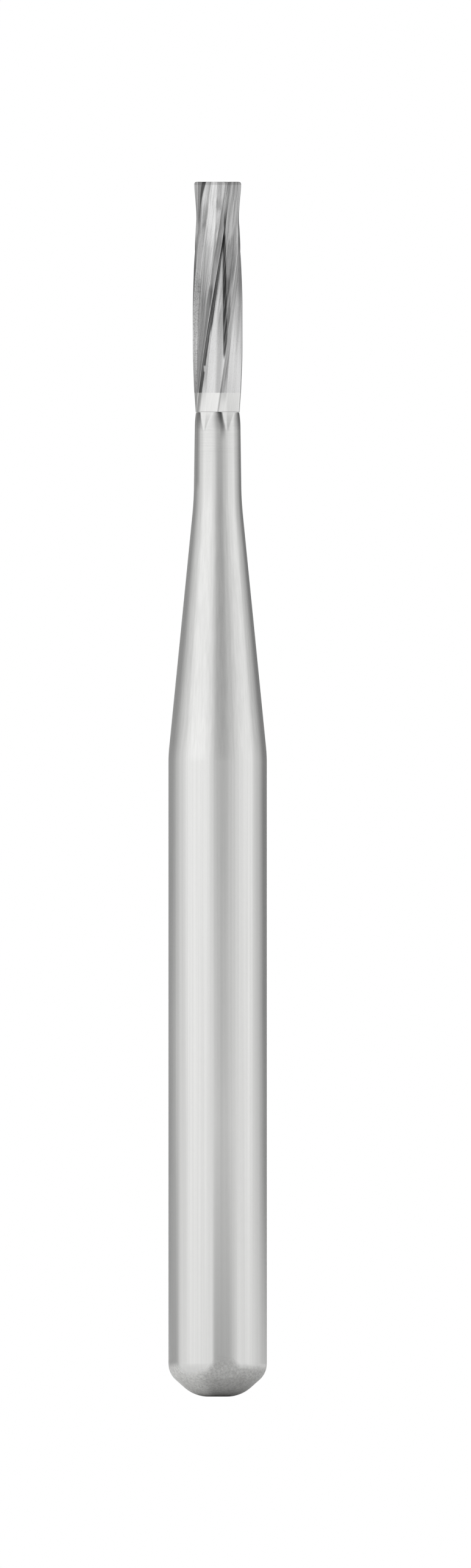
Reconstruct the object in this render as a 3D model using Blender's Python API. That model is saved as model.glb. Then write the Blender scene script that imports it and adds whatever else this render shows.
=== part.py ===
"""Dental bur: a plain fissure cutter with a friction-grip shank, 1.6 mm across.

Two pieces, brazed end to end: a tungsten carbide head with six ground blades,
and a steel shank whose top is the fluted stub that the head is brazed to.
The axis is Z, the cutting tip is up and the tail stands on Z = 0.
"""
import math

import bmesh
import bpy
from mathutils import Matrix, Vector

MM = 0.001

# Lengths along the axis
OVERALL_LENGTH = 19.74 * MM
HEAD_LENGTH = 3.74 * MM
STUB_LENGTH = 0.31 * MM
NECK_LENGTH = 1.44 * MM
CONE_LENGTH = 4.136 * MM

# Radii
BLADE_RADIUS = 0.403 * MM
TIP_RADIUS = 0.384 * MM
WAIST_RADIUS = 0.358 * MM
NECK_TOP_RADIUS = 0.368 * MM
NECK_BASE_RADIUS = 0.388 * MM
SHANK_RADIUS = 0.800 * MM

# The blades are a little lower in a waist just below the tip. Depths are from the tip
TIP_ROUND = 0.045 * MM
WAIST_DEPTH = 0.58 * MM
FULL_BLADE_DEPTH = 1.20 * MM
HEEL_DROP = 0.015 * MM

# Tail: a soft chamfer that ends in a small flat
CHAMFER_WIDTH = 0.427 * MM
CHAMFER_HEIGHT = 0.380 * MM

# How far each blend reaches along the sides of its corner
CHAMFER_TOP_BLEND = 0.160 * MM
CHAMFER_END_BLEND = 0.223 * MM
CONE_BASE_BLEND = 0.120 * MM
NECK_BASE_BLEND = 0.250 * MM

# Blades and flutes. Angles in a section run from a cutting edge into its own flute
BLADES = 6
FLUTE_LEAD = 14.5 * MM
EDGE_FRONT_DEPTH = 1.41 * MM
FLUTE_DEPTH = 0.072 * MM
FLOOR_FOLLOW = 0.5
RAKE_FOOT_ANGLE = math.radians(6.0)
FOOT_CORNER = 0.010 * MM
LAND_ANGLE = math.radians(13.5)
BACK_CROWN_RADIUS = 2.0 * MM

# Towards the heel the rake faces lean back and the lands narrow. Then the grinding wheel
# lifts out, and each flute ends on the neck in a curved run-out
OPENING_DEPTH = 2.00 * MM
HEEL_LAND_ANGLE = math.radians(3.0)
RUN_OUT_ANGLE = math.radians(30.0)
NARROWEST_ANGLE = math.radians(6.0)
WHEEL_RADIUS = 4.70 * MM
LIFT_ABOVE_HEEL = 0.31 * MM

# Fineness of the curved surfaces
TIP_STEPS = 4
BLEND_STEPS = 6
BACK_STEPS = 6
LAND_STEPS = 4
BLADE_STEP = 0.10 * MM
RUN_OUT_STEP = 0.05 * MM

PITCH = 2 * math.pi / BLADES
CARBIDE_LENGTH = HEAD_LENGTH - STUB_LENGTH
HEEL_HEIGHT = OVERALL_LENGTH - HEAD_LENGTH
NECK_BASE_HEIGHT = HEEL_HEIGHT - NECK_LENGTH
CONE_BASE_HEIGHT = NECK_BASE_HEIGHT - CONE_LENGTH


def clear_scene():
    for old in list(bpy.data.objects):
        bpy.data.objects.remove(old, do_unlink=True)


def metal(name, color, roughness):
    material = bpy.data.materials.new(name)
    material.use_nodes = True
    shader = material.node_tree.nodes["Principled BSDF"]
    shader.inputs["Base Color"].default_value = (*color, 1.0)
    shader.inputs["Metallic"].default_value = 1.0
    shader.inputs["Roughness"].default_value = roughness
    return material


def stretch(start, end, step):
    """Evenly spaced values from start to end, no more than a step apart."""
    count = max(1, math.ceil(abs(end - start) / step - 0.001))
    return [start + (end - start) * number / count for number in range(count + 1)]


def eased(start, end, share):
    return start + (end - start) * (1 - math.cos(math.pi * share)) / 2


def blade_radius(depth):
    """Radius of the cutting edges at a depth below the tip, before the tip is rounded."""
    if depth < WAIST_DEPTH:
        return eased(TIP_RADIUS, WAIST_RADIUS, depth / WAIST_DEPTH)
    if depth < FULL_BLADE_DEPTH:
        return eased(WAIST_RADIUS, BLADE_RADIUS,
                     (depth - WAIST_DEPTH) / (FULL_BLADE_DEPTH - WAIST_DEPTH))
    return BLADE_RADIUS


def neck_radius(depth):
    share = (depth - HEAD_LENGTH) / NECK_LENGTH
    return NECK_TOP_RADIUS + (NECK_BASE_RADIUS - NECK_TOP_RADIUS) * share


def floor_radius(depth):
    """Radius of the flutes' deepest line, which the lifting wheel brings out at the heel."""
    waist = BLADE_RADIUS - blade_radius(depth)
    below = max(0.0, depth - HEAD_LENGTH + LIFT_ABOVE_HEEL)
    return BLADE_RADIUS - FLUTE_DEPTH - FLOOR_FOLLOW * waist + below ** 2 / (2 * WHEEL_RADIUS)


def run_out_depth():
    """The depth at which the flutes have run out on the neck."""
    depth = HEAD_LENGTH + HEEL_DROP + RUN_OUT_STEP
    while floor_radius(depth) < neck_radius(depth):
        depth += 0.1 * RUN_OUT_STEP
    return depth


def share_between(depth, start, end):
    return min(1.0, max(0.0, (depth - start) / (end - start)))


def spoke(radius, angle):
    """A point of a section. Angle 0 is the front, -Y, and it grows towards +X."""
    return Vector((radius * math.sin(angle), -radius * math.cos(angle)))


def angle_of(point):
    return math.atan2(point.x, -point.y)


def crossing_angle(inside, outside, radius):
    """Angle at which the line between two points of a section crosses a circle."""
    step = outside - inside
    along = inside.dot(step)
    room = max(0.0, radius ** 2 - inside.length_squared)
    share = (math.sqrt(along ** 2 + step.length_squared * room) - along) / step.length_squared
    return angle_of(inside + min(1.0, share) * step)


def blade_section(depth, outer):
    """One blade's share of the section where the blank has the radius outer."""
    opening = share_between(depth, OPENING_DEPTH, run_out_depth())
    closing = share_between(depth, HEAD_LENGTH, run_out_depth())
    crest = blade_radius(depth)
    foot_angle = RAKE_FOOT_ANGLE + (RUN_OUT_ANGLE - RAKE_FOOT_ANGLE) * opening ** 2
    land_angle = LAND_ANGLE + (HEEL_LAND_ANGLE - LAND_ANGLE) * opening ** 0.5
    foot = spoke(min(outer, floor_radius(depth)), foot_angle)
    edge_angle = crossing_angle(foot, spoke(crest, 0.0), outer)
    edge_angle += (foot_angle - NARROWEST_ANGLE / 2 - edge_angle) * closing
    crease_angle = crossing_angle(foot, spoke(crest, PITCH - land_angle), outer)
    crease_angle += (foot_angle + NARROWEST_ANGLE / 2 - crease_angle) * closing
    edge, crease = spoke(outer, edge_angle), spoke(outer, crease_angle)
    rake, back = edge - foot, crease - foot
    crown = back.orthogonal().normalized() * (back.length_squared / (2 * BACK_CROWN_RADIUS))
    section = [edge, foot + rake.normalized() * min(FOOT_CORNER, 0.4 * rake.length)]
    first = min(FOOT_CORNER, 0.4 * back.length) / back.length
    for share in stretch(first, 1.0, (1.0 - first) / BACK_STEPS):
        section.append(foot + back * share - crown * share * (1 - share))
    land = PITCH + edge_angle - crease_angle
    for step in range(1, LAND_STEPS):
        section.append(spoke(outer, crease_angle + land * step / LAND_STEPS))
    return section


def fluted_ring(depth, outer):
    """The blades' section all the way round, turned as the flutes are at this depth."""
    height = OVERALL_LENGTH - depth
    section = blade_section(depth, outer)
    turns = [Matrix.Rotation(twist_at(depth) + number * PITCH, 2) for number in range(BLADES)]
    return [Vector((*(turn @ point), height)) for turn in turns for point in section]


def twist_at(depth):
    return 2 * math.pi * (EDGE_FRONT_DEPTH - depth) / FLUTE_LEAD


def plain_ring(radius, height, evenness):
    """A circle. Its points stand under the last fluted ring's, or evenly at an evenness of one."""
    end = run_out_depth()
    angles = [angle_of(point) for point in blade_section(end, neck_radius(end))]
    ring = []
    for number in range(BLADES):
        for index, angle in enumerate(angles):
            even = angles[0] + PITCH * index / len(angles)
            turn = angle + (even - angle) * evenness + number * PITCH + twist_at(end)
            ring.append(Vector((*spoke(radius, turn), height)))
    return ring


def blended(before, corner, after, length):
    """Points on the arc that rounds a corner of a profile and is tangent to both its sides."""
    start, middle, end = Vector(before), Vector(corner), Vector(after)
    to_start, to_end = start - middle, end - middle
    length = min(length, 0.49 * to_start.length, 0.49 * to_end.length)
    first = to_start.normalized() * length
    last = to_end.normalized() * length
    half = first.angle(last) / 2
    centre = (first + last).normalized() * (length / math.cos(half))
    turn = (first - centre).angle_signed(last - centre)
    spokes = [Matrix.Rotation(-turn * step / BLEND_STEPS, 2) for step in range(BLEND_STEPS + 1)]
    return [middle + centre + spoke @ (first - centre) for spoke in spokes]


def drawn_out(name, rings, collection, material):
    """A solid drawn out from ring to ring. All rings have the same number of points."""
    bm = bmesh.new()
    face = bm.faces.new([bm.verts.new(point) for point in rings[0]])
    for number, ring in enumerate(rings[1:]):
        grown = bmesh.ops.extrude_face_region(bm, geom=[face])
        if number:
            bmesh.ops.delete(bm, geom=[face], context="FACES_ONLY")
        face = next(part for part in grown["geom"] if isinstance(part, bmesh.types.BMFace))
        for vertex, point in zip(face.verts, ring):
            vertex.co = point
    bmesh.ops.recalc_face_normals(bm, faces=bm.faces)
    mesh = bpy.data.meshes.new(name)
    bm.to_mesh(mesh)
    bm.free()
    mesh.materials.append(material)
    mesh.shade_smooth()
    mesh.set_sharp_from_angle(angle=math.radians(20))
    piece = bpy.data.objects.new(name, mesh)
    collection.objects.link(piece)
    return piece


def carbide_head(collection):
    """The carbide piece, from its rounded tip corner down to the flat braze."""
    carbide = metal("ground_carbide", (0.40, 0.40, 0.41), 0.30)
    rings = []
    for step in range(TIP_STEPS):
        lean = math.pi / 2 * step / TIP_STEPS
        depth = TIP_ROUND * (1 - math.cos(lean))
        rings.append(fluted_ring(depth, blade_radius(depth) - TIP_ROUND * (1 - math.sin(lean))))
    for depth in stretch(TIP_ROUND, CARBIDE_LENGTH, BLADE_STEP):
        rings.append(fluted_ring(depth, blade_radius(depth)))
    return drawn_out("carbide_head", rings, collection, carbide)


def steel_shank(collection):
    """Fluted stub, neck with the flutes' run-outs, cone, gripped shank and rounded tail."""
    steel = metal("ground_steel", (0.60, 0.59, 0.57), 0.28)
    rings = [fluted_ring(depth, blade_radius(depth))
             for depth in stretch(CARBIDE_LENGTH, HEAD_LENGTH, BLADE_STEP)]
    for depth in stretch(HEAD_LENGTH + HEEL_DROP, run_out_depth(), RUN_OUT_STEP):
        rings.append(fluted_ring(depth, neck_radius(depth)))
    # The last corner is the end flat's own one, across the axis
    corners = [(NECK_TOP_RADIUS, HEEL_HEIGHT, 0.0),
               (NECK_BASE_RADIUS, NECK_BASE_HEIGHT, NECK_BASE_BLEND),
               (SHANK_RADIUS, CONE_BASE_HEIGHT, CONE_BASE_BLEND),
               (SHANK_RADIUS, CHAMFER_HEIGHT, CHAMFER_TOP_BLEND),
               (SHANK_RADIUS - CHAMFER_WIDTH, 0.0, CHAMFER_END_BLEND),
               (CHAMFER_WIDTH - SHANK_RADIUS, 0.0, 0.0)]
    profile = []
    for before, corner, after in zip(corners, corners[1:], corners[2:]):
        profile.extend(blended(before[:2], corner[:2], after[:2], corner[2]))
    for number, (radius, height) in enumerate(profile):
        rings.append(plain_ring(radius, height, min(1.0, number / BLEND_STEPS)))
    return drawn_out("steel_shank", rings, collection, steel)


def build():
    clear_scene()
    bur = bpy.data.collections.new("dental_bur")
    bpy.context.scene.collection.children.link(bur)
    carbide_head(bur)
    steel_shank(bur)


build()
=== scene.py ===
"""Looks of a straight fissure dental bur.

Ground carbide blades, with painted shade in their flutes, are brazed to a polished steel shank.
The bur stands on its tail. Z is its axis, and the camera looks at it from -Y.
"""

import math
from typing import NamedTuple

import bmesh
import bpy
from bpy.props import FloatProperty, FloatVectorProperty, IntProperty, PointerProperty
from mathutils import Matrix, Vector


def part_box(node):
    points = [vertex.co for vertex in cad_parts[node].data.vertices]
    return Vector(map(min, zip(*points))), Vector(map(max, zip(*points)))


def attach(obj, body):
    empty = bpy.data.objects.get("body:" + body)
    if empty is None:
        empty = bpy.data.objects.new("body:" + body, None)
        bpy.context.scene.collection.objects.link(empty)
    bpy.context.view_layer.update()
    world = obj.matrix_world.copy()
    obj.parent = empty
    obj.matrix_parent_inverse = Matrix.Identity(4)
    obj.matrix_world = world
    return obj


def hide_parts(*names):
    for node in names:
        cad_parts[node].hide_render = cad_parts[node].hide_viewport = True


bl_info = {
    "name": "Dental bur",
    "version": (1, 0, 0),
    "blender": (4, 5, 0),
    "location": "3D View > Sidebar > Bur",
    "description": "Builds a straight fissure bur with spiral blades and its studio",
    "category": "Object",
}

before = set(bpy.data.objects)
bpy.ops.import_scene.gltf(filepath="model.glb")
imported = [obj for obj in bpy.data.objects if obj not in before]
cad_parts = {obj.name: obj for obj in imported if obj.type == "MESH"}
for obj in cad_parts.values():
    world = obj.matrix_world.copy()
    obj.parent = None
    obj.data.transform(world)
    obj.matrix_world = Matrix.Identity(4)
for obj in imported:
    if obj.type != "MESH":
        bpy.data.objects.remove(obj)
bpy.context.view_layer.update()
HEAD_LOW, HEAD_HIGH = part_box("carbide_head")
SHANK_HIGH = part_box("steel_shank")[1]

MM = 0.001

# How finely each side of a blade's section is divided
WALL_STEPS = 8
FOOT_STEPS = 4
BACK_STEPS = 14
LAND_STEPS = 10

# How closely the rings follow each other, and how far past the run-outs they still have blades
BLADE_STEP = 0.04 * MM
RUN_OUT_STEP = 0.012 * MM
RUN_OUT_SEARCH_STEP = 0.005 * MM
RUN_OUT_MARGIN = 0.05 * MM

# The tip's end sinks to its middle in rings, given as shares of the outermost one
TIP_RINGS = (0.10, 0.35, 0.6, 0.8, 0.93)
TIP_DISH = 0.03 * MM
TIP_ROUND_STEPS = 6

# The worn edge has a point on the land and one on the rake face, and the crease has one.
# Each sinks and stands back by shares of the wear
EDGE_LAND_SINK = 0.10
EDGE_LAND_BACK = 0.50
EDGE_FACE_SINK = 0.45
CREASE_SINK = 0.25

# Wear and rounding never take more than these shares of a side's length
MOST_EDGE_WEAR = 0.2
MOST_FOOT_ROUND = 0.4
MOST_CREASE_WEAR = 0.1

# What the attributes "land" and "foot" say where the section is neither one nor the other
EDGE_LAND = 0.6
EDGE_FOOT = 0.6
CREASE_LAND = 0.5

# Painted shade stands for the shadow in a flute: it covers the rake face and foot, and thinly the
# back beside the foot. As the flute opens towards the heel the foot goes bare, and then the face
# from its foot upwards.
# On the neck the painted shade, a shadow under the heel, lies on the lands instead, and grows
# towards the next cutting edge
WALL_SHADED = 1.28
WALL_FADE = 0.3
FOOT_SHADED = 0.30
FOOT_FADE = 0.2
BACK_SHADE = 0.35
BACK_SHADE_FALL = 3.0
NECK_SHADE_FADE = 0.8
NECK_SHADE_RISE = 1.2

# The heel's upper corner, and how far each blend of the shank reaches from its corner
HEEL_ROUND_HEIGHT = 0.004 * MM
HEEL_ROUND_WIDTH = 0.003 * MM
NECK_BASE_BLEND = 0.250 * MM
CONE_BASE_BLEND = 0.120 * MM
CHAMFER_TOP_BLEND = 0.160 * MM
CHAMFER_END_BLEND = 0.223 * MM
BLEND_STEPS = 10
SHARP_ANGLE = math.radians(18)


class Point(NamedTuple):
    """A point of a ring, with its share of the land and of the painted shade at the foot of the
    flute.
    """
    place: Vector
    land: float = 0.0
    foot: float = 0.0


class Streak(NamedTuple):
    """A soft streak that leans from its top to its foot.

    Its angles go round the bur in degrees, 0 at the front and growing towards +X. Its heights
    are millimetres above the tail. Each pair gives the top first. The half width and the
    softness of its rim are in degrees too, and it shows on the flutes, the lands or all over.
    """
    angles: tuple
    heights: tuple
    half_width: float
    softness: float
    depth: float
    where: str = "all"


class Sector(NamedTuple):
    """Part of the way round the bur, in degrees, and how far each end fades beyond it."""
    first: float
    last: float
    soft_first: float
    soft_last: float


class ShadeBand(NamedTuple):
    """Painted shade on one side, deepest at its foot and gone at its top, in millimetres."""
    sector: Sector
    foot: float
    top: float
    depth: float


# Streaks have soft ends this long for each degree that their sides are soft
SOFT_END = 0.07 * MM

# Where the painted shade in the flutes is thinner or gone
UNSHADED_PLACES = (
    Streak((-84.0, -84.0), (19.00, 16.40), 24.0, 8.0, 0.72),
    Streak((-42.0, -52.0), (19.10, 18.25), 12.0, 4.0, 0.75),
    Streak((34.0, 34.0), (17.10, 16.00), 26.0, 4.0, 0.65),
    Streak((-34.0, -34.5), (16.73, 16.67), 2.4, 0.5, 0.90),
)
# Painted shade and painted dark reflections, in streaks over the head's flutes and lands
HEAD_SHADE_STREAKS = (
    Streak((19.0, 18.6), (18.82, 16.95), 4.8, 1.8, 0.88, "flutes"),
    Streak((-17.0, -52.0), (17.95, 16.40), 5.5, 2.5, 0.46, "lands"),
    Streak((-1.0, -17.0), (19.40, 17.75), 2.6, 1.6, 0.30),
    Streak((-33.0, -47.0), (18.95, 17.70), 3.0, 2.0, 0.24),
    Streak((-26.0, -40.0), (18.90, 17.60), 12.0, 6.0, 0.15),
    Streak((48.0, 44.0), (19.76, 18.35), 26.0, 8.0, 0.40, "flutes"),
    Streak((27.0, 27.0), (18.10, 17.25), 5.0, 2.5, 0.45, "flutes"),
    Streak((4.0, -6.0), (19.35, 18.60), 4.0, 3.0, 0.24),
    Streak((6.0, 3.0), (19.80, 19.35), 6.5, 2.0, 0.36),
    Streak((7.0, 1.0), (17.45, 16.20), 7.0, 4.5, 0.30),
    Streak((-37.0, -66.0), (19.74, 19.13), 6.5, 1.5, 0.80),
    Streak((-76.0, -72.0), (19.13, 18.35), 9.0, 3.0, 0.50),
)
PITTED_SIDE = Streak((-80.0, -78.0), (18.20, 16.35), 22.0, 6.0, 1.0)
PIT_DEPTH = 0.34

# Heights are squeezed or stretched by these before they reach a noise, which draws it out
# along the flutes or the shank, or into rings round it
BLADE_LINES_SCALE = 0.03
STUB_LINES_SCALE = 0.02
TURNED_LINES_SCALE = 45.0
DRAWN_LINES_SCALE = 0.004
CLOUD_SCALE = 0.35

# Values of a noise between which each pattern goes from nothing to full
MOST_NOISE = (0.3, 0.7)
WIDE_NOISE = (0.2, 0.8)
BORDER_NOISE = (0.25, 0.75)
GRINDING_NOISE = (0.38, 0.62)
MOTTLE_NOISE = (0.35, 0.65)
STREAK_NOISE = (0.46, 0.60)
SPECK_NOISE = (0.30, 0.40)
PIT_NOISE = (0.50, 0.60)
FINE_LINES_SHARE = 0.6

# Tones are factors of the bare metal's colour
GROOVE_TONE, RIDGE_TONE = 0.66, 1.12
SPECK_TONE = 0.86
# Painted shade on the tip's rim
RIM_SHADE_TONE = 0.76
LAND_TONE = 0.66
# A painted glint along the creases, fainter along the worn edges
CREASE_GLINT = 1.05
STEEL_TONES = (0.96, 1.04)
TAIL_TONES = (0.85, 1.15)
FLOOR_TONES = (0.985, 1.015)

# How far the roughness strays from each finish's own, and how much more the lands have
CARBIDE_SMOOTHER, CARBIDE_ROUGHER = 0.07, 0.09
LAND_ROUGHER = 0.10
STEEL_ROUGHER = 0.02
TURNED_ROUGHER = 0.03

# Relief in the finish, and each kind of finish's share of the steel's
FINE_LINES_RELIEF, BROAD_LINES_RELIEF = 0.0012 * MM, 0.0050 * MM
GRAIN_RELIEF, GRAIN_STRENGTH = 0.0006 * MM, 0.7
STEEL_RELIEF = 0.0008 * MM
DRAWN_RELIEF, TURNED_RELIEF, STUB_RELIEF, TUMBLED_RELIEF = 0.06, 0.9, 1.0, 3.0

# Between these heights above the tail the grinding lines fade downwards into an even tone
LINES_FADED, LINES_CLEAR = 16.7 * MM, 17.8 * MM
FADED_CONTRAST = 0.30
EVEN_TONE = 0.55

# Painted shade on the tip's rounded rim darkens it between these depths below the tip
RIM_DARK, RIM_CLEAR = 0.040 * MM, 0.065 * MM

# Painted shade in the flutes: its heights above the heel, its soft ends, how dark it is and how
# ragged, and what is left of it and of the head's painted shade streaks where a grinding line
# shows through
FLUTE_SHADE_LOW, FLUTE_SHADE_HIGH = 0.25 * MM, 2.95 * MM
FLUTE_SHADE_LOW_FADE, FLUTE_SHADE_HIGH_FADE = 0.20 * MM, 0.55 * MM
FLUTE_SHADE_DEPTH = 0.86
FLUTE_SHADE_RAGGED = 0.12
FLUTE_SHADE_RIM = (0.20, 0.80)
STREAKED_FLUTE_SHADE = 0.80
STREAKED_HEAD_SHADE = 0.78

# Stains wander by this angle in radians along the grinding lines
WANDER = 0.012

# Matt tail: its ragged border, a tongue that reaches above it and a gap in it, and painted light
# on its left side with painted shade round the rest
TAIL_BORDER_LOW, TAIL_BORDER_HIGH = 0.42 * MM, 0.58 * MM
TAIL_RAGGED = 0.07 * MM
TAIL_TONGUE, TONGUE_RISE = Sector(2, 16, 10, 14), 0.10 * MM
TAIL_GAP, GAP_DROP = Sector(-42, -16, 14, 10), 0.13 * MM
LIT_TAIL_SIDE = Sector(-110, -34, 30, 30)
SHADED_TAIL_TONE, LIT_TAIL_TONE = 0.94, 1.32

# Painted shade on the steel, in the stub's flutes, under the heel and in bands up the shank, and
# the steel darker above the shoulder
STUB_SIDE, STUB_SHADE = Sector(-75, -35, 10, 10), 0.55
NECK_SHADE = 0.80
STEEL_SHADE_RIM = (0.05, 0.9)
UPPER_DARKENING, UPPER_DARKENING_REACH = 0.055, 1.2 * MM
HEEL_LIP, HEEL_LIP_SHADE = 0.003 * MM, 0.50
HEEL_LIP_LOW_FADE, HEEL_LIP_HIGH_FADE = 0.002 * MM, 0.004 * MM
HEEL_FADE = 0.002 * MM
STUB_LINES_FADE = 0.05 * MM
PAINTED_SHADE_BANDS = (
    ShadeBand(Sector(-3, 12, 4, 14), 0.6, 4.4, 0.32),
    ShadeBand(Sector(-76, -57, 14, 9), 0.5, 5.5, 0.38),
)
NECK_SHADE_STREAKS = (
    Streak((5.0, 13.0), (16.00, 15.78), 5.5, 4.0, 0.42),
    Streak((-58.0, -58.0), (16.00, 14.90), 7.0, 3.0, 0.22),
)

# Studio, in metres and degrees. Each screen's stops are an angle from the front and a level
PIXEL = 0.00989 * MM
PICTURE_ROWS = 2576
AIM_RIGHT, AIM_HEIGHT = 0.290 * MM, 9.954 * MM
CAMERA_DISTANCE = 0.12
NEAR_CLIP, FAR_CLIP = 0.01, 1.0
FLOOR_REACH = 0.4
FLOOR_ROUGHNESS = 0.7
WORLD_LEVEL = 0.60
SCREEN_DISTANCE = 0.14
SCREEN_REACH = 0.3
SCREEN_STEP = 3
LEFT_SCREEN = ((-172, 0.36), (-150, 0.30), (-127, 0.32), (-117, 0.42), (-106, 0.58),
               (-98, 0.68), (-90, 0.72), (-82, 0.82), (-74, 0.93), (-64, 1.0))
RIGHT_SCREEN = ((-32, 0.96), (-21, 0.87), (-13, 0.76), (-6, 0.50), (4, 0.43),
                (16, 0.40), (22, 0.44), (30, 0.60), (39, 0.65), (48, 0.74),
                (57, 0.80), (67, 0.88), (78, 0.92), (90, 0.88), (95, 0.66),
                (103, 0.58), (113, 0.52), (122, 0.38), (135, 0.20), (172, 0.24))


def length(name, description, default):
    return FloatProperty(name=name, description=description, default=default, min=0.0,
                         precision=6, subtype="DISTANCE", unit="LENGTH")


def angle(name, description, degrees):
    return FloatProperty(name=name, description=description, default=math.radians(degrees),
                         subtype="ANGLE", unit="ROTATION")


def fraction(name, description, default):
    return FloatProperty(name=name, description=description, default=default, min=0.0, max=1.0,
                         subtype="FACTOR")


def finish_colour(name, description, default):
    return FloatVectorProperty(name=name, description=description, default=default, size=3,
                               min=0.0, max=1.0, subtype="COLOR")


class BurSizes(bpy.types.PropertyGroup):
    """Sizes of the blades, the neck and the shank."""
    blade_count: IntProperty(name="Blades", description="Number of blades round the head",
                             default=6, min=2, max=12)
    flute_lead: length("Flute lead", "Height in which a blade makes a whole turn", 14.5 * MM)
    edge_front_depth: length("Edge at the front", "Depth under the tip at which a cutting edge "
                             "faces the front", 1.41 * MM)
    flute_depth: length("Flute depth", "How far the flutes are ground into the blank", 0.072 * MM)
    floor_follow: fraction("Floor follow", "How much of the waist the floor of the flutes "
                           "follows", 0.5)
    rake_foot_angle: angle("Rake foot", "Angle from a cutting edge to the foot of its face", 6.0)
    foot_corner: length("Foot corner", "Size of the round at the foot of a rake face", 0.010 * MM)
    land_angle: angle("Land", "Angle of the land behind each cutting edge", 13.5)
    back_crown_radius: length("Back crown", "Radius of the nearly flat backs", 2.0 * MM)
    edge_wear: length("Edge wear", "Size of the worn edge along each blade", 0.0035 * MM)
    tip_wear_angle: angle("Tip wear", "How far the lands are worn back at the tip", 10.0)
    tip_wear_depth: length("Tip wear depth", "Depth to which the lands are worn", 0.75 * MM)
    crease_wear: length("Crease wear", "Size of the worn corner behind each land", 0.0060 * MM)
    opening_depth: length("Opening depth", "Depth from which the rake faces lean back", 2.0 * MM)
    heel_land_angle: angle("Heel land", "Angle that is left of a land at the heel", 3.0)
    run_out_angle: angle("Run-out", "Angle from a cutting edge to the end of its flute", 30.0)
    narrowest_angle: angle("Narrowest flute", "Width of a flute where it ends", 6.0)
    tip_radius: length("Tip radius", "Radius of the blades at the tip", 0.384 * MM)
    waist_radius: length("Waist radius", "Smallest radius of the blades", 0.358 * MM)
    blade_radius: length("Blade radius", "Full radius of the blades", 0.403 * MM)
    tip_round: length("Tip round", "Radius of the corner at the tip", 0.045 * MM)
    waist_depth: length("Waist depth", "Depth of the waist below the tip", 0.58 * MM)
    full_blade_depth: length("Full blade depth", "Depth from which the blades are full", 1.2 * MM)
    head_length: length("Head length", "Length of the blades, the stub's too", 3.74 * MM)
    heel_drop: length("Heel drop", "Height of the step at the heel of the blades", 0.015 * MM)
    wheel_radius: length("Wheel radius", "Radius of the grinding wheel", 4.7 * MM)
    lift_above_heel: length("Wheel lift", "Where the wheel begins to lift", 0.31 * MM)
    neck_length: length("Neck length", "Length of the neck under the heel", 1.44 * MM)
    neck_top_radius: length("Neck top radius", "Radius of the neck at the heel", 0.368 * MM)
    neck_base_radius: length("Neck base radius", "Radius where the neck meets the cone",
                             0.388 * MM)
    cone_length: length("Cone length", "Length of the cone", 4.136 * MM)
    shank_radius: length("Shank radius", "Radius of the gripped cylinder", SHANK_HIGH.x)
    chamfer_width: length("Chamfer width", "Width of the chamfer at the tail", 0.427 * MM)
    chamfer_height: length("Chamfer height", "Height of the chamfer at the tail", 0.380 * MM)


class BurFinish(bpy.types.PropertyGroup):
    """Colours and finishes of the metals and the studio."""
    carbide: finish_colour("Carbide", "Ground tungsten carbide", (0.85, 0.85, 0.85))
    steel: finish_colour("Steel", "Ground and polished steel", (0.86, 0.86, 0.85))
    tail: finish_colour("Tail", "Tumbled steel at the tail", (0.60, 0.60, 0.59))
    floor: finish_colour("Floor", "Pale floor", (0.80, 0.80, 0.80))
    carbide_roughness: fraction("Carbide roughness", "Roughness of the ground blades", 0.27)
    steel_roughness: fraction("Steel roughness", "Roughness of the polished steel", 0.22)
    tail_roughness: fraction("Tail roughness", "Roughness of the tumbled tail", 0.50)


def mixed(start, end, share):
    return start + (end - start) * share


def eased(start, end, share):
    return start + (end - start) * (1 - math.cos(math.pi * share)) / 2


def share_between(value, start, end):
    """How far a value is from start to end, held between 0 and 1."""
    return min(1.0, max(0.0, (value - start) / (end - start)))


def stretch(start, end, step):
    """Evenly spaced values from start to end, no more than a step apart."""
    rounding = 0.001
    count = max(1, math.ceil(abs(end - start) / step - rounding))
    return [start + (end - start) * number / count for number in range(count + 1)]


def heel_height(sizes):
    return HEAD_HIGH.z - sizes.head_length


def neck_base_height(sizes):
    return heel_height(sizes) - sizes.neck_length


def shoulder_height(sizes):
    return neck_base_height(sizes) - sizes.cone_length


# Depths are measured down from the tip

def blade_radius(sizes, depth):
    if depth < sizes.waist_depth:
        return eased(sizes.tip_radius, sizes.waist_radius, depth / sizes.waist_depth)
    if depth < sizes.full_blade_depth:
        share = (depth - sizes.waist_depth) / (sizes.full_blade_depth - sizes.waist_depth)
        return eased(sizes.waist_radius, sizes.blade_radius, share)
    return sizes.blade_radius


def neck_radius(sizes, depth):
    share = (depth - sizes.head_length) / sizes.neck_length
    return mixed(sizes.neck_top_radius, sizes.neck_base_radius, share)


def floor_radius(sizes, depth):
    """Radius of the floor of the flutes, which follows the arc of the lifting wheel."""
    waist = sizes.blade_radius - blade_radius(sizes, depth)
    below = max(0.0, depth - sizes.head_length + sizes.lift_above_heel)
    return (sizes.blade_radius - sizes.flute_depth - sizes.floor_follow * waist
            + below ** 2 / (2 * sizes.wheel_radius))


def run_out_depth(sizes):
    """Depth at which the flutes leave the neck."""
    depth = sizes.head_length + sizes.heel_drop
    while floor_radius(sizes, depth) < neck_radius(sizes, depth):
        depth += RUN_OUT_SEARCH_STEP
    return depth


def twist_at(sizes, depth):
    return 2 * math.pi * (sizes.edge_front_depth - depth) / sizes.flute_lead


def spoke(radius, around):
    """A point of a section. Angle 0 is the front, -Y, and it grows towards +X."""
    return Vector((radius * math.sin(around), -radius * math.cos(around)))


def angle_of(point):
    return math.atan2(point.x, -point.y)


def crossing_angle(inside, outside, radius):
    """Angle at which the line between two points of a section crosses a circle."""
    step = outside - inside
    along = inside.dot(step)
    room = max(0.0, radius ** 2 - inside.length_squared)
    share = (math.sqrt(along ** 2 + step.length_squared * room) - along) / step.length_squared
    return angle_of(inside + min(1.0, share) * step)


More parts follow.
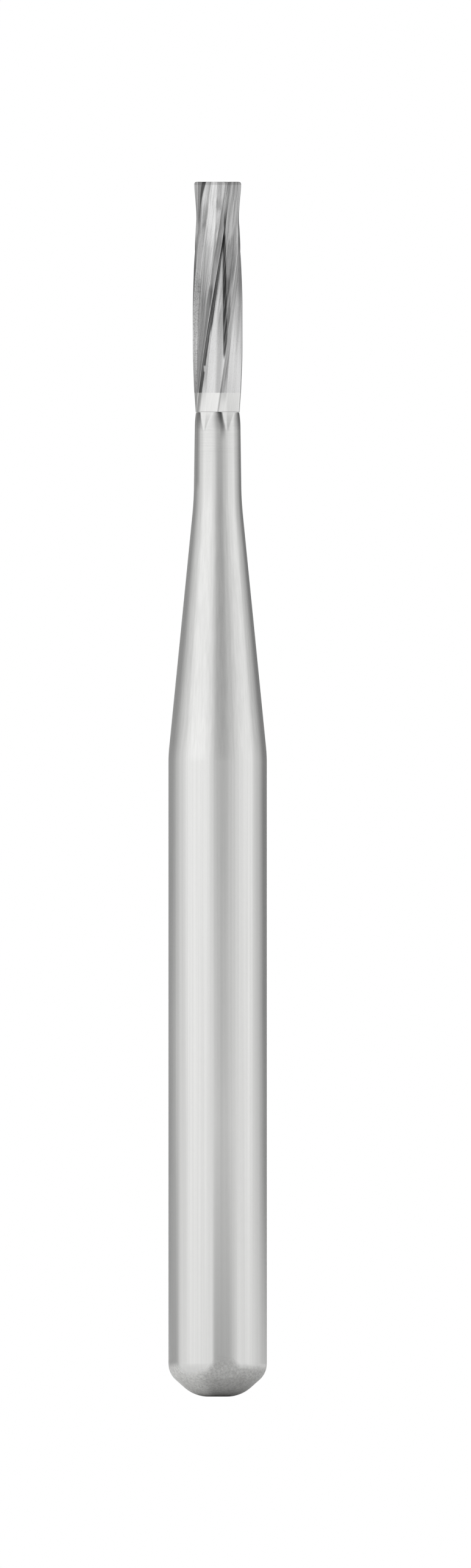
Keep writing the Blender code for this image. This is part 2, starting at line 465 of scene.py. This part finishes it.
def blade_section(sizes, depth, outer):
    """One blade's points, from a cutting edge down its face, up the back and over the land."""
    pitch = 2 * math.pi / sizes.blade_count
    end = run_out_depth(sizes)
    opening = share_between(depth, sizes.opening_depth, end)
    closing = share_between(depth, sizes.head_length, end)
    crest = blade_radius(sizes, depth)
    foot_angle = mixed(sizes.rake_foot_angle, sizes.run_out_angle, opening ** 2)
    land_angle = mixed(sizes.land_angle, sizes.heel_land_angle, opening ** 0.5)
    half_end = sizes.narrowest_angle / 2
    foot = spoke(min(outer, floor_radius(sizes, depth)), foot_angle)
    worn_back = sizes.tip_wear_angle * (1 - share_between(depth, 0.0, sizes.tip_wear_depth) ** 3)
    edge_angle = mixed(crossing_angle(foot, spoke(crest, -worn_back), outer),
                       foot_angle - half_end, closing)
    crease_angle = mixed(crossing_angle(foot, spoke(crest, pitch - land_angle), outer),
                         foot_angle + half_end, closing)
    edge, crease = spoke(outer, edge_angle), spoke(outer, crease_angle)
    rake, back = edge - foot, crease - foot
    crown = back.orthogonal().normalized() * (back.length_squared
                                              / (2 * sizes.back_crown_radius))
    edge_wear = sizes.edge_wear * (1 - closing)
    crease_wear = sizes.crease_wear * (1 - closing)
    on_neck = depth > sizes.head_length
    # How much painted shade the flute gets here, none on the neck
    dark = 0.0 if on_neck else 1.0

    section = [Point(spoke(outer - EDGE_LAND_SINK * edge_wear,
                           edge_angle - EDGE_LAND_BACK * edge_wear / outer), land=EDGE_LAND),
               Point(spoke(outer - EDGE_FACE_SINK * edge_wear, edge_angle),
                     foot=EDGE_FOOT * dark)]

    face_top = edge - rake.normalized() * min(edge_wear, MOST_EDGE_WEAR * rake.length)
    face_foot = foot + rake.normalized() * min(sizes.foot_corner, MOST_FOOT_ROUND * rake.length)
    for step in range(WALL_STEPS):
        share = step / WALL_STEPS
        face_shade = share_between(WALL_SHADED - opening - share, 0.0, WALL_FADE)
        section.append(Point(face_top.lerp(face_foot, share), foot=dark * face_shade))

    dark *= share_between(FOOT_SHADED - opening, 0.0, FOOT_FADE)
    first = min(sizes.foot_corner, MOST_FOOT_ROUND * back.length) / back.length
    last = 1.0 - min(crease_wear, MOST_CREASE_WEAR * back.length) / back.length
    back_foot = foot + back * first - crown * first * (1 - first)
    for step in range(FOOT_STEPS):
        share = step / FOOT_STEPS
        rounded = face_foot.lerp(foot, share).lerp(foot.lerp(back_foot, share), share)
        section.append(Point(rounded, foot=dark))

    for step in range(BACK_STEPS + 1):
        share = mixed(first, last, step / BACK_STEPS)
        shade_on_back = max(0.0, BACK_SHADE - BACK_SHADE_FALL * step / BACK_STEPS)
        section.append(Point(foot + back * share - crown * share * (1 - share),
                             foot=dark * shade_on_back))

    section.append(Point(spoke(outer - CREASE_SINK * crease_wear, crease_angle),
                         land=CREASE_LAND))
    land_start = crease_angle + crease_wear / outer
    land_width = pitch + edge_angle - edge_wear / outer - land_start
    # Painted shadow under the heel, on the neck's lands
    shade_on_neck = (1 - closing) ** NECK_SHADE_FADE if on_neck else 0.0
    for step in range(LAND_STEPS):
        share = step / LAND_STEPS
        section.append(Point(spoke(outer, land_start + land_width * share), land=1.0,
                             foot=shade_on_neck * share ** NECK_SHADE_RISE))
    return section


def fluted_ring(sizes, depth, outer):
    """A ring of all the blades' points at one depth."""
    section = blade_section(sizes, depth, outer)
    pitch = 2 * math.pi / sizes.blade_count
    turns = [Matrix.Rotation(twist_at(sizes, depth) + number * pitch, 2)
             for number in range(sizes.blade_count)]
    return [Point(Vector((*(turn @ point.place), HEAD_HIGH.z - depth)), point.land, point.foot)
            for turn in turns for point in section]


def blend_points(before, corner, after, reach):
    """Points that round a corner of a profile, tangent to both its sides."""
    start, middle, end = Vector(before), Vector(corner), Vector(after)
    first = (start - middle).normalized() * reach
    last = (end - middle).normalized() * reach
    half = first.angle(last) / 2
    centre = (first + last).normalized() * (reach / math.cos(half))
    turn = (first - centre).angle_signed(last - centre)
    arms = [Matrix.Rotation(-turn * step / BLEND_STEPS, 2) for step in range(BLEND_STEPS + 1)]
    return [middle + centre + arm @ (first - centre) for arm in arms]


def shank_profile(sizes):
    """Radius and height of each ring, from the foot of the neck to the rim of the tail's flat."""
    flat = sizes.shank_radius - sizes.chamfer_width
    corners = [(sizes.neck_top_radius, heel_height(sizes)),
               (sizes.neck_base_radius, neck_base_height(sizes)),
               (sizes.shank_radius, shoulder_height(sizes)),
               (sizes.shank_radius, sizes.chamfer_height),
               (flat, 0.0),
               (-flat, 0.0)]
    blends = (NECK_BASE_BLEND, CONE_BASE_BLEND, CHAMFER_TOP_BLEND, CHAMFER_END_BLEND)
    profile = []
    for before, corner, after, reach in zip(corners, corners[1:], corners[2:], blends):
        profile.extend(blend_points(before, corner, after, reach))
    return profile


def linked(name, bm, material):
    """The object that a bmesh becomes, in the scene and with its material."""
    mesh = bpy.data.meshes.new(name)
    bm.to_mesh(mesh)
    bm.free()
    mesh.materials.append(material)
    piece = bpy.data.objects.new(name, mesh)
    bpy.context.scene.collection.objects.link(piece)
    return piece


def drawn_out(name, rings, material, node):
    """A smooth solid drawn from ring to ring, in place of a plain CAD node."""
    bm = bmesh.new()
    bmesh.ops.create_circle(bm, cap_ends=True, segments=len(rings[0]), radius=MM)
    on_land = bm.verts.layers.float.new("land")
    at_foot = bm.verts.layers.float.new("foot")
    face = bm.faces[:][0]
    for number, ring in enumerate(rings):
        if number:
            grown = bmesh.ops.extrude_face_region(bm, geom=[face])
            if number > 1:
                bmesh.ops.delete(bm, geom=[face], context="FACES_ONLY")
            face = next(part for part in grown["geom"] if isinstance(part, bmesh.types.BMFace))
        for vertex, point in zip(face.verts, ring):
            vertex.co = point.place
            vertex[on_land] = point.land
            vertex[at_foot] = point.foot
    bmesh.ops.recalc_face_normals(bm, faces=bm.faces)
    piece = linked(name, bm, material)
    piece.data.shade_smooth()
    piece.data.set_sharp_from_angle(angle=SHARP_ANGLE)
    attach(piece, "root")
    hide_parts(node)


class Tree:
    """The nodes of one material, added one after another."""

    def __init__(self, name, metallic=1.0):
        self.material = bpy.data.materials.new(name)
        self.material.use_nodes = True
        self.nodes = self.material.node_tree.nodes
        self.links = self.material.node_tree.links
        self.shader = self.nodes["Principled BSDF"]
        self.shader.inputs["Metallic"].default_value = metallic
        self.position = self.nodes.new("ShaderNodeTexCoord").outputs["Object"]

    def feed(self, socket, value):
        """Links another socket to this one, or sets its value."""
        if isinstance(value, bpy.types.NodeSocket):
            self.links.new(value, socket)
        else:
            socket.default_value = value

    def surface(self, name, value):
        self.feed(self.shader.inputs[name], value)

    def node(self, kind, inputs, **settings):
        made = self.nodes.new(kind)
        for key, value in settings.items():
            setattr(made, key, value)
        for key, value in inputs.items():
            self.feed(made.inputs[key], value)
        return made

    def attribute(self, name):
        return self.node("ShaderNodeAttribute", {}, attribute_name=name).outputs["Fac"]

    def math(self, operation, first, second=0.0):
        return self.node("ShaderNodeMath", {0: first, 1: second}, operation=operation).outputs[0]

    def times(self, first, second):
        return self.math("MULTIPLY", first, second)

    def plus(self, first, second):
        return self.math("ADD", first, second)

    def minus(self, first, second):
        return self.math("SUBTRACT", first, second)

    def height(self):
        return self.node("ShaderNodeSeparateXYZ", {"Vector": self.position}).outputs["Z"]

    def angle_round(self):
        """The angle round the bur, as spoke has it: 0 at the front and growing towards +X."""
        axes = self.node("ShaderNodeSeparateXYZ", {"Vector": self.position}).outputs
        return self.math("ARCTAN2", axes["X"], self.times(axes["Y"], -1.0))

    def millimetres(self, height_scale=1.0, vector=None):
        """The position, or another vector, in millimetres. Its height has its own scale."""
        return self.node("ShaderNodeMapping",
                         {"Vector": self.position if vector is None else vector,
                          "Scale": (1 / MM, 1 / MM, height_scale / MM)}).outputs[0]

    def along_flutes(self, sizes, height_scale):
        """Millimetres in a frame that turns with the flutes."""
        turn = self.times(self.height(), -2 * math.pi / sizes.flute_lead)
        straight = self.node("ShaderNodeVectorRotate", {"Vector": self.position, "Angle": turn},
                             rotation_type="Z_AXIS").outputs[0]
        return self.millimetres(height_scale, straight)

    def noise(self, vector, scale, detail=2.0, roughness=0.5):
        return self.node("ShaderNodeTexNoise", {"Vector": vector, "Scale": scale, "Detail": detail,
                                                "Roughness": roughness}).outputs["Fac"]

    def span(self, value, low, high, to_low=0.0, to_high=1.0, curve="LINEAR"):
        """A value between low and high, mapped to between to_low and to_high."""
        return self.node("ShaderNodeMapRange", {"Value": value, "From Min": low, "From Max": high,
                                                "To Min": to_low, "To Max": to_high},
                         interpolation_type=curve).outputs[0]

    def soft_span(self, value, low, high, to_low=0.0, to_high=1.0):
        return self.span(value, low, high, to_low, to_high, "SMOOTHSTEP")

    def between(self, value, low, high, soft_low, soft_high):
        """One between low and high, and falling to zero over the soft lengths beyond them."""
        return self.times(self.soft_span(value, low - soft_low, low),
                          self.soft_span(value, high, high + soft_high, 1.0, 0.0))

    def sector(self, around, sector):
        return self.between(around, *[math.radians(turn) for turn in sector])

    def streak(self, around, height, mark):
        """The depth of a streak inside it, and zero beyond its soft rim."""
        top_angle, foot_angle = [math.radians(turn) for turn in mark.angles]
        top, foot = [level * MM for level in mark.heights]
        middle = self.span(height, top, foot, top_angle, foot_angle)
        off = self.math("ABSOLUTE", self.minus(around, middle))
        across = self.soft_span(off, math.radians(mark.half_width - mark.softness),
                                math.radians(mark.half_width + mark.softness), 1.0, 0.0)
        soft_end = SOFT_END * mark.softness
        along = self.between(height, foot, top, soft_end, soft_end)
        return self.times(self.times(across, along), mark.depth)

    def mix(self, share, first, second, blend_type="MIX"):
        """A colour between two."""
        return self.node("ShaderNodeMix", {0: share, 6: first, 7: second}, data_type="RGBA",
                         blend_type=blend_type).outputs[2]

    def tint(self, colour, factor):
        """The colour times a grey factor."""
        return self.mix(1.0, colour, factor, "MULTIPLY")

    def darken(self, colour, share):
        return self.tint(colour, self.minus(1.0, share))

    def blend(self, share, first, second):
        """A number between two."""
        return self.node("ShaderNodeMix", {0: share, 2: first, 3: second}).outputs[0]

    def bump(self, height, distance, strength=1.0, normal=None):
        inputs = {"Height": height, "Distance": distance, "Strength": strength}
        if normal is not None:
            inputs["Normal"] = normal
        return self.node("ShaderNodeBump", inputs).outputs[0]


def shade(colour, factor):
    return (*[min(1.0, part * factor) for part in colour], 1.0)


def flute_painted_shade(tree, sizes, around, height, foot, fine, cloud):
    """How much painted shade darkens each flute, ragged at its rim and lighter in places."""
    ragged = tree.plus(foot, tree.span(cloud, *MOST_NOISE, -FLUTE_SHADE_RAGGED, FLUTE_SHADE_RAGGED))
    heel = heel_height(sizes)
    reach = tree.between(height, heel + FLUTE_SHADE_LOW, heel + FLUTE_SHADE_HIGH,
                         FLUTE_SHADE_LOW_FADE, FLUTE_SHADE_HIGH_FADE)
    flute_shade = tree.times(tree.soft_span(ragged, *FLUTE_SHADE_RIM, 0.0, FLUTE_SHADE_DEPTH), reach)
    for mark in UNSHADED_PLACES:
        flute_shade = tree.times(flute_shade, tree.minus(1.0, tree.streak(around, height, mark)))
    return tree.times(flute_shade, tree.span(fine, *STREAK_NOISE, 1.0, STREAKED_FLUTE_SHADE))


def ground_carbide(sizes, finish):
    """Grinding lines that follow the flutes, a painted glint at the creases and worn edges,
    painted shade in the flutes and in streaks, and pits.
    """
    tree = Tree("ground_carbide")
    height = tree.height()
    lines = tree.along_flutes(sizes, BLADE_LINES_SCALE)
    fine = tree.noise(lines, scale=34.0, detail=3.0, roughness=0.65)
    broad = tree.noise(lines, scale=12.0)
    grain = tree.noise(tree.millimetres(), scale=45.0, roughness=0.6)
    cloud = tree.noise(tree.millimetres(), scale=9.0, detail=3.0, roughness=0.6)
    land, foot = tree.attribute("land"), tree.attribute("foot")
    around = tree.plus(tree.angle_round(), tree.span(fine, *MOST_NOISE, -WANDER, WANDER))

    contrast = tree.span(height, LINES_FADED, LINES_CLEAR, FADED_CONTRAST, 1.0)
    tone = tree.span(tree.blend(FINE_LINES_SHARE, broad, fine), *GRINDING_NOISE)
    colour = tree.mix(tree.blend(contrast, EVEN_TONE, tone),
                      shade(finish.carbide, GROOVE_TONE), shade(finish.carbide, RIDGE_TONE))
    colour = tree.tint(colour, tree.span(grain, *SPECK_NOISE, SPECK_TONE, 1.0))
    # Painted shade on the tip's rounded rim
    colour = tree.tint(colour, tree.soft_span(height, HEAD_HIGH.z - RIM_CLEAR,
                                              HEAD_HIGH.z - RIM_DARK, 1.0, RIM_SHADE_TONE))
    colour = tree.tint(colour, tree.span(land, EDGE_LAND, 1.0, 1.0, LAND_TONE))
    # A painted glint along each crease, and fainter along each worn edge
    from_corner = tree.math("ABSOLUTE", tree.minus(land, CREASE_LAND))
    colour = tree.tint(colour, tree.span(from_corner, 0.05, 0.40, CREASE_GLINT, 1.0))

    # Painted shade in the flutes, then painted shade in streaks
    colour = tree.darken(colour, flute_painted_shade(tree, sizes, around, height, foot, fine, cloud))
    in_flute = tree.times(tree.span(land, 0.1, 0.4, 1.0, 0.0),
                          tree.span(fine, *STREAK_NOISE, 1.0, STREAKED_HEAD_SHADE))
    places = {"flutes": in_flute, "lands": land, "all": 1.0}
    for mark in HEAD_SHADE_STREAKS:
        dark = tree.times(places[mark.where], tree.streak(around, height, mark))
        colour = tree.darken(colour, dark)
    pits = tree.times(tree.streak(around, height, PITTED_SIDE),
                      tree.span(grain, *PIT_NOISE, 0.0, PIT_DEPTH))
    tree.surface("Base Color", tree.darken(colour, pits))

    rough = tree.span(fine, *WIDE_NOISE, finish.carbide_roughness - CARBIDE_SMOOTHER,
                      finish.carbide_roughness + CARBIDE_ROUGHER)
    tree.surface("Roughness", tree.plus(rough, tree.times(land, LAND_ROUGHER)))
    ground = tree.bump(fine, FINE_LINES_RELIEF)
    ground = tree.bump(broad, BROAD_LINES_RELIEF, normal=ground)
    tree.surface("Normal", tree.bump(grain, GRAIN_RELIEF, GRAIN_STRENGTH, ground))
    return tree.material


def matt_tail(tree, around, height, cloud):
    """One on the matt tail and zero above its ragged border."""
    ragged = tree.plus(height, tree.span(cloud, *BORDER_NOISE, -TAIL_RAGGED, TAIL_RAGGED))
    ragged = tree.minus(ragged, tree.times(tree.sector(around, TAIL_TONGUE), TONGUE_RISE))
    ragged = tree.plus(ragged, tree.times(tree.sector(around, TAIL_GAP), GAP_DROP))
    return tree.soft_span(ragged, TAIL_BORDER_LOW, TAIL_BORDER_HIGH, 1.0, 0.0)


def steel_painted_shade(tree, sizes, around, height, on_tail):
    """How much painted shade darkens the stub, the neck, the cone and the shank."""
    heel, shoulder = heel_height(sizes), shoulder_height(sizes)
    under_heel = tree.span(height, heel - HEEL_FADE, heel, 1.0, 0.0)
    # Painted shade in the stub's flutes, and painted shadow under the heel on the neck
    on_stub = tree.times(tree.sector(around, STUB_SIDE), STUB_SHADE)
    steel_shade = tree.times(tree.span(tree.attribute("foot"), *STEEL_SHADE_RIM),
                      tree.blend(under_heel, on_stub, NECK_SHADE))
    upper = tree.span(height, shoulder, shoulder + UPPER_DARKENING_REACH, 0.0, UPPER_DARKENING)
    steel_shade = tree.plus(steel_shade, tree.times(under_heel, upper))
    off_tail = tree.minus(1.0, on_tail)
    # Bands of painted shade up the shank, off the tail
    for band in PAINTED_SHADE_BANDS:
        band_shade = tree.times(tree.sector(around, band.sector),
                          tree.span(height, band.foot * MM, band.top * MM, band.depth, 0.0))
        steel_shade = tree.plus(steel_shade, tree.times(band_shade, off_tail))
    # Painted shade on the heel's rounded lip
    lip = tree.between(height, heel, heel + HEEL_LIP, HEEL_LIP_LOW_FADE, HEEL_LIP_HIGH_FADE)
    steel_shade = tree.math("MAXIMUM", steel_shade, tree.times(lip, HEEL_LIP_SHADE))
    for mark in NECK_SHADE_STREAKS:
        dark = tree.times(under_heel, tree.streak(around, height, mark))
        steel_shade = tree.plus(steel_shade, tree.times(dark, tree.minus(1.0, steel_shade)))
    return steel_shade


def polished_steel(sizes, finish):
    """Ground stub, turned neck and cone, drawn cylinder and tumbled matt tail in one steel."""
    tree = Tree("polished_steel")
    height, around = tree.height(), tree.angle_round()
    heel = heel_height(sizes)
    flute_lines = tree.noise(tree.along_flutes(sizes, STUB_LINES_SCALE), scale=70.0, detail=3.0,
                             roughness=0.6)
    turned_lines = tree.noise(tree.millimetres(TURNED_LINES_SCALE), scale=1.6, roughness=0.6)
    drawn_lines = tree.noise(tree.millimetres(DRAWN_LINES_SCALE), scale=26.0)
    cloud = tree.noise(tree.millimetres(CLOUD_SCALE), scale=1.3, detail=3.0)
    grain = tree.noise(tree.millimetres(), scale=26.0, detail=3.0, roughness=0.65)

    on_stub = tree.soft_span(height, heel - STUB_LINES_FADE, heel)
    on_neck = tree.soft_span(height, neck_base_height(sizes), HEAD_HIGH.z - run_out_depth(sizes))
    on_tail = matt_tail(tree, around, height, cloud)
    lines = tree.blend(on_neck, drawn_lines, turned_lines)
    lines = tree.blend(on_stub, lines, flute_lines)
    lines = tree.blend(on_tail, lines, grain)

    bright = tree.mix(tree.span(lines, *MOST_NOISE),
                      *[shade(finish.steel, tone) for tone in STEEL_TONES])
    mottled = tree.mix(tree.span(grain, *MOTTLE_NOISE),
                       *[shade(finish.tail, tone) for tone in TAIL_TONES])
    # Painted light on the tail's left side, painted shade on the rest
    lit_side = tree.sector(around, LIT_TAIL_SIDE)
    mottled = tree.tint(mottled, tree.span(lit_side, 0.0, 1.0, SHADED_TAIL_TONE, LIT_TAIL_TONE))
    # The steel's colour darkened by its painted shade
    tree.surface("Base Color", tree.darken(tree.mix(on_tail, bright, mottled),
                                           steel_painted_shade(tree, sizes, around, height, on_tail)))

    rough = tree.span(cloud, *MOST_NOISE, finish.steel_roughness - STEEL_ROUGHER,
                      finish.steel_roughness + STEEL_ROUGHER)
    rough = tree.blend(on_neck, rough, finish.steel_roughness + TURNED_ROUGHER)
    rough = tree.blend(on_stub, rough, finish.carbide_roughness)
    tree.surface("Roughness", tree.blend(on_tail, rough, finish.tail_roughness))
    relief = tree.blend(on_neck, DRAWN_RELIEF, TURNED_RELIEF)
    relief = tree.blend(on_stub, relief, STUB_RELIEF)
    relief = tree.blend(on_tail, relief, TUMBLED_RELIEF)
    tree.surface("Normal", tree.bump(tree.times(lines, relief), STEEL_RELIEF))
    return tree.material


def pale_floor(finish):
    tree = Tree("pale_floor", metallic=0.0)
    grain = tree.noise(tree.millimetres(), scale=0.6, detail=3.0)
    tree.surface("Base Color", tree.mix(tree.span(grain, *MOST_NOISE),
                                        *[shade(finish.floor, tone) for tone in FLOOR_TONES]))
    tree.surface("Roughness", FLOOR_ROUGHNESS)
    return tree.material


class BUR_OT_carbide_head(bpy.types.Operator):
    """Build the ground carbide head, with worn cutting edges and a dished end"""
    bl_idname = "bur.carbide_head"
    bl_label = "Carbide head"

    def execute(self, context):
        sizes, finish = context.scene.bur_sizes, context.scene.bur_finish
        rim = fluted_ring(sizes, 0.0, sizes.tip_radius - sizes.tip_round)
        rings = []
        for share in TIP_RINGS:
            sink = TIP_DISH * (1 - share) ** 2
            rings.append([Point(Vector((point.place.x * share, point.place.y * share,
                                        point.place.z - sink)), land=1.0) for point in rim])
        for step in range(TIP_ROUND_STEPS):
            lean = math.pi / 2 * step / TIP_ROUND_STEPS
            depth = sizes.tip_round * (1 - math.cos(lean))
            outer = blade_radius(sizes, depth) - sizes.tip_round * (1 - math.sin(lean))
            rings.append(fluted_ring(sizes, depth, outer))
        for depth in stretch(sizes.tip_round, HEAD_HIGH.z - HEAD_LOW.z, BLADE_STEP):
            rings.append(fluted_ring(sizes, depth, blade_radius(sizes, depth)))
        drawn_out("fluted_carbide_head", rings, ground_carbide(sizes, finish),
                  "carbide_head")
        return {"FINISHED"}


class BUR_OT_steel_shank(bpy.types.Operator):
    """Build the steel stub, neck, cone and shank with its rounded tail"""
    bl_idname = "bur.steel_shank"
    bl_label = "Steel shank"

    def execute(self, context):
        sizes, finish = context.scene.bur_sizes, context.scene.bur_finish
        rings = [fluted_ring(sizes, depth, blade_radius(sizes, depth))
                 for depth in stretch(HEAD_HIGH.z - HEAD_LOW.z,
                                      sizes.head_length - HEEL_ROUND_HEIGHT, BLADE_STEP)]
        rings.append(fluted_ring(sizes, sizes.head_length,
                                 sizes.blade_radius - HEEL_ROUND_WIDTH))
        for depth in stretch(sizes.head_length + sizes.heel_drop,
                             run_out_depth(sizes) + RUN_OUT_MARGIN, RUN_OUT_STEP):
            rings.append(fluted_ring(sizes, depth, neck_radius(sizes, depth)))
        turns = [angle_of(point.place) for point in rings[-1]]
        for radius, height in shank_profile(sizes):
            rings.append([Point(Vector((*spoke(radius, turn), height)), land=1.0)
                          for turn in turns])
        drawn_out("polished_steel_shank", rings, polished_steel(sizes, finish),
                  "steel_shank")
        return {"FINISHED"}


def screen(name, stops):
    """A curved grey screen that only mirrors see, with its level given by angle."""
    first, last = stops[0][0], stops[-1][0]
    bm = bmesh.new()
    edge = spoke(SCREEN_DISTANCE, math.radians(first))
    low = bm.verts.new(Vector((*edge, -SCREEN_REACH)))
    high = bm.verts.new(Vector((*edge, SCREEN_REACH)))
    side = bm.edges.new((low, high))
    bmesh.ops.spin(bm, geom=[low, high, side], cent=(0.0, 0.0, 0.0), axis=(0.0, 0.0, 1.0),
                   angle=math.radians(last - first), steps=math.ceil((last - first) / SCREEN_STEP))
    tree = Tree(name)
    share = tree.span(tree.angle_round(), math.radians(first), math.radians(last))
    ramp = tree.node("ShaderNodeValToRGB", {"Fac": share})
    points = ramp.color_ramp.elements
    while len(points) < len(stops):
        points.new(0.5)
    for point, (turn, level) in zip(points, stops):
        point.position = (turn - first) / (last - first)
        point.color = (level, level, level, 1.0)
    light = tree.node("ShaderNodeEmission", {"Color": ramp.outputs[0], "Strength": 1.0})
    tree.links.new(light.outputs[0], tree.nodes["Material Output"].inputs["Surface"])
    piece = linked(name, bm, tree.material)
    piece.visible_camera = False
    piece.visible_diffuse = False
    piece.visible_shadow = False


def softbox(name, azimuth, elevation, distance, size, level):
    """A rectangular lamp that looks as bright as level says, aimed at the middle of the bur."""
    data = bpy.data.lights.new(name, "AREA")
    data.shape = "RECTANGLE"
    data.size, data.size_y = size
    data.energy = level * math.pi * size[0] * size[1]
    light = bpy.data.objects.new(name, data)
    bpy.context.scene.collection.objects.link(light)
    above = math.radians(elevation)
    away = Vector((*spoke(math.cos(above), math.radians(azimuth)), math.sin(above)))
    light.location = away * distance + Vector((0, 0, AIM_HEIGHT))
    light.rotation_mode = "QUATERNION"
    light.rotation_quaternion = away.to_track_quat("Z", "Y")
    light.visible_camera = False
    light.visible_glossy = False


def studio_world():
    """A white world for the camera and for mirrors, which lights the bur less."""
    world = bpy.data.worlds.new("studio")
    world.use_nodes = True
    nodes, links = world.node_tree.nodes, world.node_tree.links
    background = nodes["Background"]
    rays = nodes.new("ShaderNodeLightPath")
    seen = nodes.new("ShaderNodeMath")
    mirrored = nodes.new("ShaderNodeMath")
    seen.operation = mirrored.operation = "MAXIMUM"
    links.new(rays.outputs["Is Glossy Ray"], mirrored.inputs[0])
    links.new(rays.outputs["Is Transmission Ray"], mirrored.inputs[1])
    links.new(rays.outputs["Is Camera Ray"], seen.inputs[0])
    links.new(mirrored.outputs[0], seen.inputs[1])
    level = nodes.new("ShaderNodeMapRange")
    level.inputs["To Min"].default_value = WORLD_LEVEL
    level.inputs["To Max"].default_value = 1.0
    links.new(seen.outputs[0], level.inputs["Value"])
    links.new(level.outputs[0], background.inputs["Strength"])
    background.inputs["Color"].default_value = (1.0, 1.0, 1.0, 1.0)
    return world


def studio_camera():
    """A camera without perspective, square to the bur, which sees the photograph's frame."""
    camera = bpy.data.cameras.new("camera")
    camera.type = "ORTHO"
    camera.ortho_scale = PICTURE_ROWS * PIXEL
    camera.clip_start = NEAR_CLIP
    camera.clip_end = FAR_CLIP
    viewer = bpy.data.objects.new("camera", camera)
    viewer.location = (AIM_RIGHT, -CAMERA_DISTANCE, AIM_HEIGHT)
    viewer.rotation_euler = (math.radians(90), 0, 0)
    bpy.context.scene.collection.objects.link(viewer)
    return viewer


class BUR_OT_studio(bpy.types.Operator):
    """Build the floor, the lamps, the mirrored screens, the world and the camera"""
    bl_idname = "bur.studio"
    bl_label = "Studio"

    def execute(self, context):
        scene = context.scene
        bm = bmesh.new()
        bmesh.ops.create_grid(bm, x_segments=1, y_segments=1, size=FLOOR_REACH)
        floor = linked("floor", bm, pale_floor(scene.bur_finish))
        softbox("left_softbox", azimuth=-52, elevation=10, distance=0.30, size=(0.42, 0.60),
                level=0.60)
        softbox("right_softbox", azimuth=61, elevation=10, distance=0.30, size=(0.40, 0.60),
                level=0.45)
        softbox("top_softbox", azimuth=0, elevation=89, distance=0.35, size=(0.40, 0.40),
                level=0.60)
        screen("left_screen", LEFT_SCREEN)
        screen("right_screen", RIGHT_SCREEN)
        scene.world = studio_world()
        scene.camera = studio_camera()
        scene.view_settings.view_transform = "Standard"
        return {"FINISHED"}


class BUR_PT_panel(bpy.types.Panel):
    """Lists the bur's pieces, sizes and finishes"""
    bl_idname = "BUR_PT_panel"
    bl_label = "Dental bur"
    bl_space_type = "VIEW_3D"
    bl_region_type = "UI"
    bl_category = "Bur"

    def draw(self, context):
        layout = self.layout
        for operator in OPERATORS:
            layout.operator(operator.bl_idname)
        for group in (context.scene.bur_sizes, context.scene.bur_finish):
            box = layout.box()
            for name in group.bl_rna.properties.keys():
                if name not in {"rna_type", "name"}:
                    box.prop(group, name)


OPERATORS = (BUR_OT_carbide_head, BUR_OT_steel_shank, BUR_OT_studio)
CLASSES = (BurSizes, BurFinish, *OPERATORS, BUR_PT_panel)


def register():
    for cls in CLASSES:
        bpy.utils.register_class(cls)
    bpy.types.Scene.bur_sizes = PointerProperty(type=BurSizes)
    bpy.types.Scene.bur_finish = PointerProperty(type=BurFinish)


def unregister():
    del bpy.types.Scene.bur_finish
    del bpy.types.Scene.bur_sizes
    for cls in reversed(CLASSES):
        bpy.utils.unregister_class(cls)


def main():
    register()
    bpy.ops.bur.carbide_head()
    bpy.ops.bur.steel_shank()
    bpy.ops.bur.studio()


if __name__ == "__main__":
    main()
